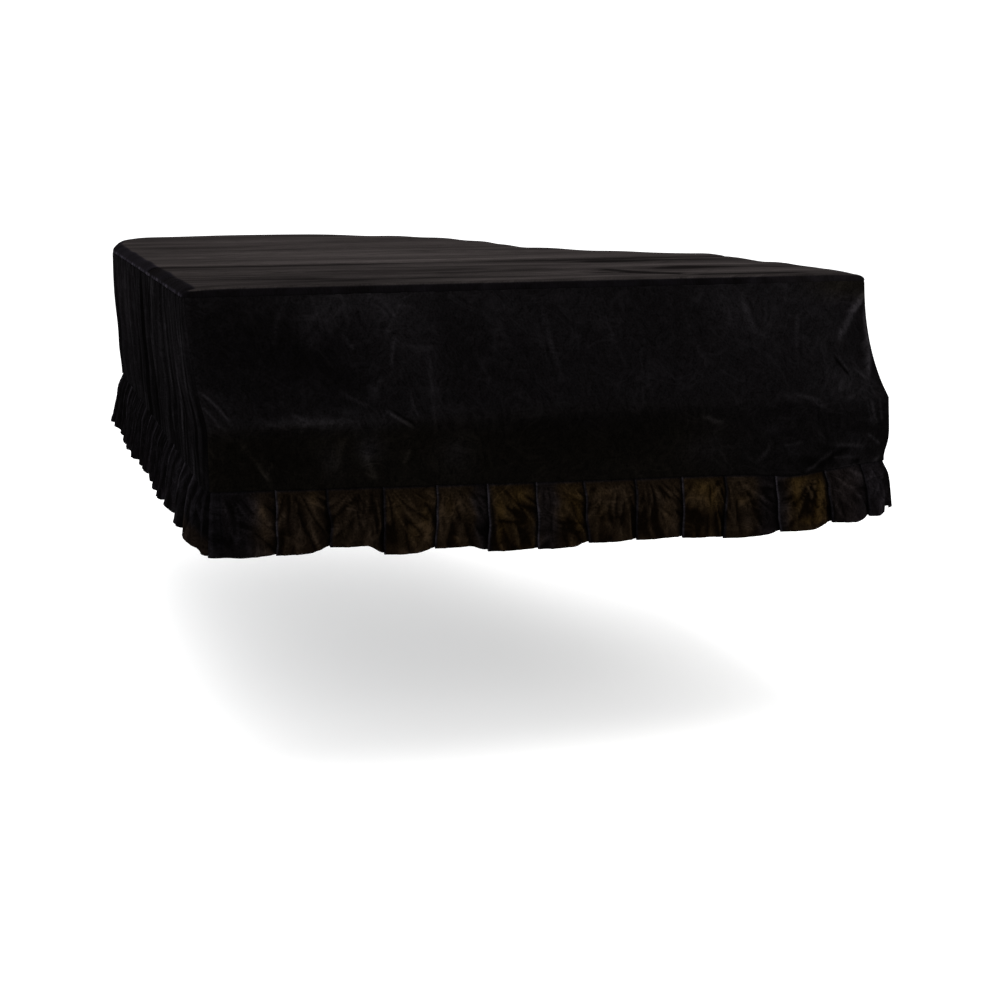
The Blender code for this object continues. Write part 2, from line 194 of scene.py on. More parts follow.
def makeRim():
    # front with its two half corners, then right side, bent side, tail and left side
    r, width = cover["cornerRadius"], cover["width"]
    front = np.vstack([arc((r, r), r, 225, 270), arc((width - r, r), r, 270, 315)])
    back = np.vstack([arc((width - r, r), r, 315, 360), through(np.array(bentSide) / 1000, 12),
                      arc((r, r), r, 180, 225)])
    path = np.vstack([front, back[1:]])
    lengths = np.append(0, np.cumsum(np.linalg.norm(np.diff(path, axis=0), axis=1)))
    return path, lengths, np.linalg.norm(np.diff(front, axis=0), axis=1).sum()


rimPath, rimLengths, frontEnd = makeRim()
rimEnd = rimLengths[-1]
halfGap = cover["cornerGap"] / 2
frontLimits, sideLimits = (halfGap, frontEnd - halfGap), (frontEnd + halfGap, rimEnd - halfGap)


def rimPoints(s):
    return np.stack([np.interp(s % rimEnd, rimLengths, rimPath[:, k]) for k in (0, 1)], -1)


def rimAt(s):
    # the points, and the outward directions, square to the line between their neighbours
    step = 0.004
    along = rimPoints(s + step) - rimPoints(s - step)
    along /= np.linalg.norm(along, axis=-1, keepdims=True)
    return rimPoints(s), np.stack([along[..., 1], -along[..., 0]], -1)


def reach(x, y, depth):
    # how far forward the cloth stands: a slope down to the key slip, slower over the piano's arms
    size, drop = cover["reach"], cover["breakDrop"]
    sloped = size * smooth(-0.6 * drop, 1.06 * drop, depth)
    straight = size * np.clip(depth / drop, 0, 1)
    middle = np.where(depth < 0.75 * drop, straight, np.minimum(straight, sloped))
    armLeft = cover["armLeft"]
    left = armLeft * np.clip(depth / 0.2, 0, 1) + (1 - armLeft) * smooth(0.185, 0.262, depth)
    right = np.clip(depth / drop, 0, 1)**2
    arm = size * np.where(x < cover["width"] / 2, left, right)
    nearCorner = fade(0.02, 0.13, np.minimum(x, cover["width"] - x))
    return fade(0, cover["reachFade"], y) * (middle + nearCorner * (arm - middle))


def place(x, y, z):
    # from the plan's own coordinates to the model's, with the front's slope added
    y = y - reach(x, y, np.maximum(-z, 0)) - cover["originBack"]
    return np.stack([x - cover["width"] / 2, y, z + 0 * x], -1)


def hanging(s, out, depth):
    # below the rim at s, stood out from it by out and tucked in under the lid's edge
    edge, outward = rimAt(s)
    width, r = cover["width"], cover["cornerRadius"]
    sideways = np.clip((width / 2 - edge[..., 0]) / (width / 2 - r), -1, 1)
    front = edge[..., 1] < r
    inward = np.where(front[..., None], np.stack([sideways, 0 * sideways], -1), -outward)
    rightCorner = smooth(width - 0.12, width - 0.02, edge[..., 0]) * fade(0.05, 0.4, edge[..., 1])
    loose = 1 - cover["cornerLoose"] * rightCorner * smooth(0.22, 0.36, depth)
    tuck = cover["tuck"] * smooth(0.03, 0.26, depth) * loose
    tuck = tuck + cover["cornerTurn"] * rightCorner * bell(depth, cover["turnDepth"], 0.03)
    x, y = (edge[..., k] + outward[..., k] * out + inward[..., k] * tuck for k in (0, 1))
    return place(x, y, -depth)


def skirtGrid(s, rows):
    # a skirt's distances along the rim, its lower edge there, and the depths of its grid
    s = np.unique(np.round(s, 6))
    start, bottom = cover["rollDrop"] - cover["overlap"], alongTable(ruffleSeam, s) - cover["gap"] / 2
    depth = start + np.linspace(0, 1, rows)[:, None] * (bottom - start)
    return s + 0 * depth, bottom, depth


def underlap(s, start, end):
    # how far a side cloth lies in behind the front one, past the corners
    return 0.0026 * fade(-0.001, 0.002, np.minimum(s - start, end - s))


# Shader nodes.

class Value:
    # a socket that can be added, multiplied and so on, each time with a Math node

    def __init__(self, nodes, socket):
        self.nodes = nodes
        self.socket = socket

    def math(self, operation, *others):
        return self.nodes.add("ShaderNodeMath", {"operation": operation}, dict(enumerate((self, *others))))

    def __add__(self, other): return self.math("ADD", other)
    def __mul__(self, other): return self.math("MULTIPLY", other)
    def __sub__(self, other): return self.math("SUBTRACT", other)
    def __rsub__(self, other): return (self * -1) + other
    __radd__, __rmul__ = __add__, __mul__

    def clamp(self):
        return self.math("MAXIMUM", 0).math("MINIMUM", 1)


class Nodes:
    # the nodes of one material

    def __init__(self, tree):
        self.tree = tree

    def add(self, kind, settings=None, values=None, output=0):
        # a node of that type: its settings first, then its sockets' values or links
        node = self.tree.nodes.new(kind)
        for name, setting in (settings or {}).items():
            setattr(node, name, setting)
        for name, value in (values or {}).items():
            self.put(node.inputs[name], value)
        return Value(self, node.outputs[output])

    def put(self, socket, value):
        if isinstance(value, Value):
            self.tree.links.new(value.socket, socket)
        else:
            socket.default_value = value

    def mixColour(self, factor, first, second):
        mixed = self.add("ShaderNodeMix", {"data_type": "RGBA"}, output=2)
        for k, value in ((0, factor), (6, first), (7, second)):
            self.put(mixed.socket.node.inputs[k], value)
        return mixed


def newMaterial(name, inputs):
    # a material's nodes, and its Principled shader with these values
    material = bpy.data.materials.new(name)
    material.use_nodes = True
    shader = material.node_tree.nodes["Principled BSDF"]
    for label, value in inputs.items():
        shader.inputs[label].default_value = value
    return material, Nodes(material.node_tree), shader


# What the velvets have in common. The crushed streaks are given as direction and length, the thin
# wrinkles (veins) as scale, sharpness and strength, and the grain as scale and strength.
velvetLook = {
    "brightest": 1.8,  # pile may rise this far; 0 is the dark colour and 1 the light one
    "dark": (0.0005, 0.0004, 0.0004), "secondDark": (0.0005, 0.0004, 0.0004), "crushScale": 105,
    "grainShare": 0.35, "bumpDistance": 0.0012, "roughness": 0.95, "specular": 0,
    "sheenRoughness": 0.2,
}


def velvet(name, look):
    # pile mixes a dark and a light colour: the piece's own attribute, which holds its painted light and
    # shade, broken up by crushed streaks that change direction from patch to patch, by thin wrinkles and
    # by grain
    look = {**velvetLook, **look}
    material, nodes, shader = newMaterial(name, {
        "Roughness": look["roughness"], "Specular IOR Level": look["specular"],
        "Sheen Weight": look["sheen"], "Sheen Roughness": look["sheenRoughness"],
        "Sheen Tint": (*look["sheenTint"], 1)})
    cloth = nodes.add("ShaderNodeTexCoord", output=2)
    pile = nodes.add("ShaderNodeAttribute", {"attribute_name": "pile"}, output=2)
    second = nodes.add("ShaderNodeAttribute", {"attribute_name": "second"}, output=2)

    def speckle(scale, detail=2, turn=0, long=1, distortion=0):
        # noise about 0, drawn out along a direction
        turned = nodes.add("ShaderNodeMapping", {"vector_type": "TEXTURE"}, {
            "Vector": cloth, "Rotation": (0, 0, math.radians(turn)), "Scale": (long, 1, 1)})
        return nodes.add("ShaderNodeTexNoise", {"noise_dimensions": "2D"}, {
            "Vector": turned, "Scale": scale, "Detail": detail, "Roughness": 0.6,
            "Distortion": distortion}) - 0.5

    def patchy(scale, offset):
        # 0 or 1 over patches, with soft borders
        return ((speckle(scale, 1, turn=offset) * 7) + 0.5).clamp()

    def pileMix(factor, dark, light):
        # the colours at pile 0 and at the brightest pile, on the line from dark to light
        bright = [d + (l - d) * look["brightest"] for d, l in zip(look[dark], look[light])]
        return nodes.mixColour(factor, (*look[dark], 1), (*bright, 1))

    streaks = [speckle(look["crushScale"], 4, turn, long, 0.5) for turn, long in look["crush"]]
    crush = streaks[0]
    for k, other in enumerate(streaks[1:]):
        where = patchy(look["patchScale"] * (1 + 0.4 * k), 20 + 50 * k)
        crush = crush + (other - crush) * where
    veinScale, veinSharpness, veinDepth = look["veins"]
    veins = speckle(veinScale, 2, 15, 1.6, 0.8).math("ABSOLUTE")
    veins = (1 - veins * veinSharpness).clamp() * patchy(look["patchScale"] * 1.7, 140)
    grainScale, grainDepth = look["grain"]
    grain = speckle(grainScale, 1)
    broken = crush * look["crushDepth"] + grain * grainDepth + veins * veinDepth
    light = ((pile * (1 + broken) + broken * look["everywhere"]) * (1 / look["brightest"])).clamp()
    colours = pileMix(light, "dark", "light"), pileMix(light, "secondDark", "secondLight")
    nodes.put(shader.inputs["Base Color"], nodes.mixColour(second, *colours))
    height = crush + veins * 0.4 + grain * look["grainShare"]
    nodes.put(shader.inputs["Normal"], nodes.add("ShaderNodeBump", values={
        "Height": height, "Strength": look["bumpStrength"], "Distance": look["bumpDistance"]}))
    return material


# Making a piece of cloth.

def quads(index):
    # the faces of a grid, from its points' numbers
    return np.stack([index[:-1, :-1], index[:-1, 1:], index[1:, 1:], index[1:, :-1]], -1).reshape(-1, 4)


def addObject(name, data):
    thing = bpy.data.objects.new(name, data)
    bpy.context.scene.collection.objects.link(thing)
    return thing


def makeCloth(name, points, faces, uv, pile, second, material):
    # a mesh with a UV map in metres of cloth and two attributes for its colour, painted light and shade
    # among it
    mesh = bpy.data.meshes.new(name)
    mesh.from_pydata(points.tolist(), [], faces.tolist())
    mesh.shade_smooth()
    corners = np.empty(len(mesh.loops), np.int32)
    mesh.loops.foreach_get("vertex_index", corners)
    mesh.uv_layers.new(name="cloth").data.foreach_set("uv", uv[corners].astype(np.float32).ravel())
    for label, values in (("pile", pile), ("second", second)):
        mesh.attributes.new(label, "FLOAT", "POINT").data.foreach_set("value", values.astype(np.float32))
    mesh.materials.append(material)
    piece = addObject(name, mesh)
    thickness = piece.modifiers.new("cloth", "SOLIDIFY")
    thickness.thickness = cover["cloth"]
    thickness.offset = 0
    return piece


def fit(piece, node, flat, area=None):
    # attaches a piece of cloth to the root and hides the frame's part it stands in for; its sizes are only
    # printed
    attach(piece, "root")
    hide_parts(node)
    print(node, "cut", flat, "area", area, "quads", len(piece.data.polygons))


def hangCloth(name, node, s, out, depth, across, pile, second, material):
    # a cloth below the rim; its flat size is the mean length of its rows, and of its columns
    grid = hanging(s, out, depth)
    uv = np.stack([across + 0 * depth, depth], -1).reshape(-1, 2)
    piece = makeCloth(name, grid.reshape(-1, 3), quads(np.arange(pile.size).reshape(pile.shape)), uv,
                      pile.ravel(), (second + 0 * pile).ravel(), material)
    wide, deep = (np.linalg.norm(np.diff(grid, axis=k), axis=-1).sum(k).mean() for k in (1, 0))
    fit(piece, node, (round(float(wide), 2), round(float(deep), 3)))


# Camera and stage.

camera = {
    "place": (-1.1009, -4.0348, 0.2369),
    "pitch": 12.5897,  # degrees below the horizon
    "yaw": 17.6723,  # degrees to the right of +Y
    "focal": 1.52737,  # focal length over the sensor's width
    "shift": (0.0203, 0.0052),
    "sensor": 36,
}
studio = {
    "floorDrop": 1.029,  # the floor lies this far below the lid
    "floorSize": 60,
    "floorColour": (0.82, 0.82, 0.82),
    "floorGlow": 0.32,  # keeps the shadow pale
    "sky": 1.25,
    "aim": (0, 0, -0.2),  # the lights point here
    # place, size, power in watts, colour
    "lights": [
        ("overhead", (-0.4, -1.6, 3), (4, 3), 110, (1, 0.985, 0.96)),
        ("leftSide", (-4.2, 0.6, 1), (1.2, 1.6), 40, (0.93, 0.96, 1)),
        ("front", (2.4, -4.2, 1.6), (1.4, 1.4), 30, (1, 0.98, 0.95)),
    ],
}


def makeCamera():
    lens = bpy.data.cameras.new("camera")
    lens.sensor_width = camera["sensor"]
    lens.lens = camera["focal"] * camera["sensor"]
    lens.shift_x, lens.shift_y = camera["shift"]
    lens.dof.use_dof = False
    view = addObject("camera", lens)
    view.location = camera["place"]
    view.rotation_euler = (math.radians(90 - camera["pitch"]), 0, math.radians(-camera["yaw"]))
    bpy.context.scene.camera = view


def makeStudio():
    half = studio["floorSize"] / 2
    mesh = bpy.data.meshes.new("floor")
    corners = [(x * half, y * half, -studio["floorDrop"]) for x, y in ((-1, -1), (1, -1), (1, 1), (-1, 1))]
    mesh.from_pydata(corners, [], [(0, 1, 2, 3)])
    mesh.materials.append(newMaterial("paleFloor", {
        "Base Color": (*studio["floorColour"], 1), "Roughness": 0.9, "Specular IOR Level": 0.1,
        "Emission Color": (1, 1, 1, 1), "Emission Strength": studio["floorGlow"]})[0])
    addObject("floor", mesh)
    world = bpy.data.worlds.new("sky")
    world.use_nodes = True
    background = world.node_tree.nodes["Background"]
    background.inputs["Color"].default_value = (1, 1, 1, 1)
    background.inputs["Strength"].default_value = studio["sky"]
    bpy.context.scene.world = world
    for name, spot, size, power, colour in studio["lights"]:
        lamp = bpy.data.lights.new(name, "AREA")
        lamp.shape = "RECTANGLE"
        lamp.size, lamp.size_y = size
        lamp.energy = power
        lamp.color = colour
        light = addObject(name, lamp)
        light.location = spot
        east, north, up = np.array(studio["aim"]) - np.array(spot)
        light.rotation_euler = (math.atan2(math.hypot(east, north), -up), 0, math.atan2(-east, north))
    bpy.context.scene.view_settings.view_transform = "Standard"


makeCamera()
makeStudio()
print("camera, floor and lights made")


# Top: an inner patch and a border that rolls over the lid's edge.

top = {
    "innerRows": 110, "innerColumns": 190, "mainRows": 100, "mainColumns": 130, "rollSteps": 9,
    "frontCut": (1.53, 0.66), "mainCut": (1.53, 1.57), "mainArea": 1.76,  # flat sizes of the cloth
    "tailLeft": 2.12, "tailRight": 3.3,  # the tail's two ends, back from the end of the rim
    "innerRadius": 0.004,  # corner of the patch's front edge
    "lift": 0.0022,  # the streaks keep the cloth this far off the lid
    "cornerDip": 0.006,
    "streak": 0.001,  # height of the fine streaks along X
    "pucker": 0.0012,  # of the puckers at the seam
    "puckerWidth": 0.016,
    "seamGlintWidth": 0.045,
    "bevelShade": 0.7,  # painted shade: how much darker the edge that turns down is than the top
    "bevelSecond": 0.9,  # share of the skirt's colour in it
    "seamLight": 1.25,  # painted highlight on the puckers along the seam
    "seamShade": 0.52,  # painted shade in the groove of the cross seam
    "frontRoll": 0.06,  # pile of that edge at the front, kept as dark as the skirt, without the top's painted sheen
    "creases": [
        (860, 330, 1130, 30, 12, 16, -4), (600, 420, 1020, 210, -10, 30, 2.2),
        (900, 600, 1320, 460, 10, 26, -3.6), (1100, 300, 1400, 200, 0, 30, 3),
        (180, 200, 520, 110, 10, 20, -1.8), (300, 100, 660, 160, 0, 18, 1.4),
        (200, 900, 800, 1020, 20, 50, 2.6), (300, 1300, 950, 1200, 30, 60, 2.8),
        (100, 1600, 850, 1660, 0, 50, -2.2),
    ],
    # light and dark lines among the streaks: painted sheen, in percent of light
    "lines": [
        (960, 275, 1110, 90, 4, 17, -62), (900, 215, 1060, 130, 0, 14, -34),
        (1050, 245, 1460, 235, 10, 20, -46), (1010, 590, 1460, 535, 0, 30, -42),
        (1060, 60, 1400, 55, 0, 18, -44), (980, 330, 1440, 330, 10, 24, 26),
        (1120, 150, 1460, 140, 0, 22, 30), (700, 110, 960, 70, 0, 18, 16), (140, 75, 420, 70, 0, 20, -22),
        (300, 200, 600, 250, 0, 22, 16), (560, 240, 900, 300, 0, 20, -16),
        (200, 960, 900, 990, 0, 40, 20), (100, 1260, 700, 1240, 0, 50, -16),
        (500, 770, 1050, 760, 0, 30, -14),
    ],
    # lighter and darker patches of the painted sheen
    "patches": [
        (950, 450, 450, 220, 14), (300, 350, 400, 300, -10), (550, 1300, 600, 600, 12),
        (100, 1500, 160, 700, -12), (1300, 550, 220, 100, 30), (1200, 240, 300, 160, 10),
    ],
    "look": {
        # the top's colours are four to five times the skirt's: painted sheen of the light that grazes the
        # top
        "dark": (0.0026, 0.0022, 0.0022), "light": (0.029, 0.0248, 0.0244),
        "secondLight": (0.007, 0.0064, 0.011),
        "crush": [(0, 9), (8, 6)], "crushScale": 110, "crushDepth": 1.8, "patchScale": 5,
        "veins": (14, 20, 0), "grain": (300, 0.8), "everywhere": 0.06, "bumpStrength": 0.25,
        "bumpDistance": 0.001, "sheen": 0.006, "sheenRoughness": 0.25,
        "sheenTint": (1, 0.88, 0.87),
    },
}
topVelvetPaintedSheen = velvet("topVelvetPaintedSheen", top["look"])


def lidHeight(x, y):
    # the middle surface lies on the lid, in long shallow streaks, and dips at the front corners
    streaks = 0.0012 * np.sin(17 * y + 1.9 * x) + 0.0009 * np.sin(31 * y - 2.6 * x + 1)
    tail = 0.004 * smooth(1, 2, y)
    fromCorner = np.hypot(np.minimum(x, cover["width"] - x), y)
    dip = top["cornerDip"] * bell(fromCorner, 0, 0.05)
    return cover["solidCloth"] / 2 + top["lift"] + streaks + tail - dip


def streakAcross(y):
    # streaks widen towards the tail
    return 10 * np.log(1 + np.maximum(y, 0) / 0.9)


def topHeight(x, y):
    # the lid's height, with fine streaks and creases that die away at the edges
    fine = noise(1.6 * x + 3, streakAcross(y), 31) + 0.6 * noise(3 * x, 2.2 * streakAcross(y) + 9, 32)
    inside = smooth(0, 0.05, x) * fade(1.45, 1.5, x) * smooth(0, 0.04, y)
    seam = bell(y, cover["seamBack"], 0.012)
    rise = top["streak"] * fine + strokes(x, y, top["creases"], 1000)
    return lidHeight(x, y) + inside * rise * (1 - seam) - 0.0022 * seam


def topPile(x, y):
    # painted sheen: light and dark streaks along X, with a painted highlight beside the cross seam and
    # painted shade in it
    v = streakAcross(y)
    streaks = 0.3 * noise(1.1 * x + 7, 0.9 * v, 41) + 0.28 * noise(2.1 * x, 2.1 * v + 4, 42)
    streaks = streaks + 0.16 * noise(4 * x, 4.6 * v, 43)
    seam = bell(y, cover["seamBack"] - 0.02, 0.026)
    rim = bell(y, cover["seamBack"] + 0.045, 0.035)
    level = 0.34 + 0.16 * smooth(0.64, 0.72, y) + blobs(x, y, top["patches"])
    seamShade = top["seamShade"] * (0.75 + 0.25 * noise(3 * x, 0 * y, 44))
    lines = strokes(x, y, top["lines"])
    return np.clip(level + 0.85 * streaks + 0.24 * rim - seamShade * seam + lines, 0.02, 1.3)


def patch(left, far, right, near):
    # a grid between four curves that meet at their ends: the two ruled grids between opposite curves,
    # added up, less the one between the four corners
    v = np.linspace(0, 1, len(left))[:, None, None]
    u = np.linspace(0, 1, len(far))[None, :, None]
    across = left[:, None] * (1 - u) + right[:, None] * u
    along = near[None] * (1 - v) + far[None] * v
    corners = near[0] * (1 - u) * (1 - v) + near[-1] * u * (1 - v) + far[0] * (1 - u) * v + far[-1] * u * v
    return across + along - corners


def makeTop(name, node, makeRing, rows, area, flat):
    # the inner patch, then one ring of points for each step of the roll over the edge
    turns = np.linspace(0, np.pi / 2, top["rollSteps"])
    rings = [makeRing(np.sin(turn)) for turn in turns]
    inner, outer = rings[0], rings[-1]
    left, far, right = inner[:rows], inner[rows - 1:len(inner) - rows + 1], inner[len(inner) - rows:][::-1]
    plan = patch(left, far, right, np.linspace(left[0], right[0], len(far)))
    points = [place(plan[..., 0], plan[..., 1], topHeight(plan[..., 0], plan[..., 1])).reshape(-1, 3)]
    lifted = topHeight(inner[:, 0], inner[:, 1])
    lengths = np.append(0, np.cumsum(np.linalg.norm(np.diff(inner, axis=0), axis=1)))
    for ring, turn in zip(rings[1:], turns[1:]):
        drop = 1 - math.cos(turn)
        pucker = top["pucker"] * drop * noise(lengths / top["puckerWidth"], 3 * turn, 33)
        z = lifted * (1 - drop) - cover["rollDrop"] * drop + pucker
        points.append(place(ring[:, 0], ring[:, 1], z))
    points, plans = np.vstack(points), np.vstack([plan.reshape(-1, 2), *rings[1:]])
    # the faces: the patch's, then those from its edge out to the last ring
    index = np.arange(plan.shape[0] * plan.shape[1]).reshape(plan.shape[:2])
    edge = np.concatenate([index[:, 0], index[-1, 1:-1], index[::-1, -1]])
    loops = np.vstack([edge, np.arange(index.size, len(points)).reshape(-1, len(inner))])
    faces = np.vstack([quads(index), quads(loops)])[:, [0, 3, 2, 1]]
    # the edge that turns down: dark at the sides (painted shade, mostly in the skirt's colour), with a
    # painted highlight of puckers along the seam, and a band of its own along the front
    pile, second = topPile(plans[:, 0], plans[:, 1]), np.zeros(len(plans))
    outward = np.linspace(0, 1, len(rings))[1:, None]
    sides = smooth(0.006, 0.02, outer[:, 1])
    seamGlints = 0.1 + 0.9 * smooth(-0.3, 0.45, noise(lengths / top["seamGlintWidth"], 0, 34))
    seamHighlight = smooth(0.74, 0.9, outward) * seamGlints
    shade = top["bevelShade"] * (1 - 0.22 * smooth(0.5, 1.2, outer[:, 1]))
    bevel = topPile(outer[:, 0], outer[:, 1]) * (1 - shade * sides * smooth(0, 0.25, outward))
    rolled = bevel + top["seamLight"] * seamHighlight * sides
    down = smooth(0.4, 0.52, outward)
    lighter = smooth(1.12, 1.42, inner[:, 0])    # painted highlight: the edge turns light towards the right corner
    frontPile = top["frontRoll"] * (1 + 0.5 * noise(lengths / 0.03, 0, 35)) * (1 + 0.9 * lighter)
    atFront = bevel + (frontPile - bevel) * down
    pile[index.size:] = (rolled * sides + (1 - sides) * atFront).ravel()
    sideSecond = top["bevelSecond"] - 0.2 * seamHighlight
    frontSecond = (0.8 - 0.3 * lighter) * down
    second[index.size:] = (sides * sideSecond + (1 - sides) * frontSecond).ravel()
    piece = makeCloth(name, points, faces, plans, pile, second, topVelvetPaintedSheen)
    fit(piece, node, flat, area)


def frontRing(rolled):
    # the front panel's edge, drawn in: down the left side, along the front, up the right side
    rows, columns, inner = top["innerRows"], top["innerColumns"], top["innerRadius"]
    left, inset = cover["rollSide"] * (1 - rolled), cover["rollFront"] * (1 - rolled)
    radius = inner + (cover["cornerRadius"] - inner) * rolled
    right = cover["width"] - left
    side = np.linspace(cover["seamBack"], inset + radius, rows)
    front = np.linspace(left + radius, right - radius, columns)
    return np.vstack([np.column_stack([np.full(rows, left), side]),
                      arc((left + radius, inset + radius), radius, 180, 270, 7)[1:-1],
                      np.column_stack([front, np.full(columns, inset)]),
                      arc((right - radius, inset + radius), radius, 270, 360, 7)[1:-1],
                      np.column_stack([np.full(rows, right), side[::-1]])])


def makeTopMain():
    rows = top["mainRows"]
    tail = np.linspace(rimEnd - top["tailLeft"], rimEnd - top["tailRight"], top["mainColumns"])
    behind = cover["seamBack"] - cover["cornerRadius"] + cornerArc    # the seam, from a corner's middle
    s = np.concatenate([np.linspace(rimEnd - behind, tail[0], rows)[:-1], tail,
                        np.linspace(tail[-1], frontEnd + behind, rows)[1:]])
    edge, outward = rimAt(s)
    makeTop("topMain", "top_main", lambda rolled: edge - outward * cover["rollSide"] * (1 - rolled),
            rows, top["mainArea"], top["mainCut"])


makeTop("topFront", "top_front", frontRing, top["innerRows"] + 3, None, top["frontCut"])
makeTopMain()
print("top made")


# Front drop.

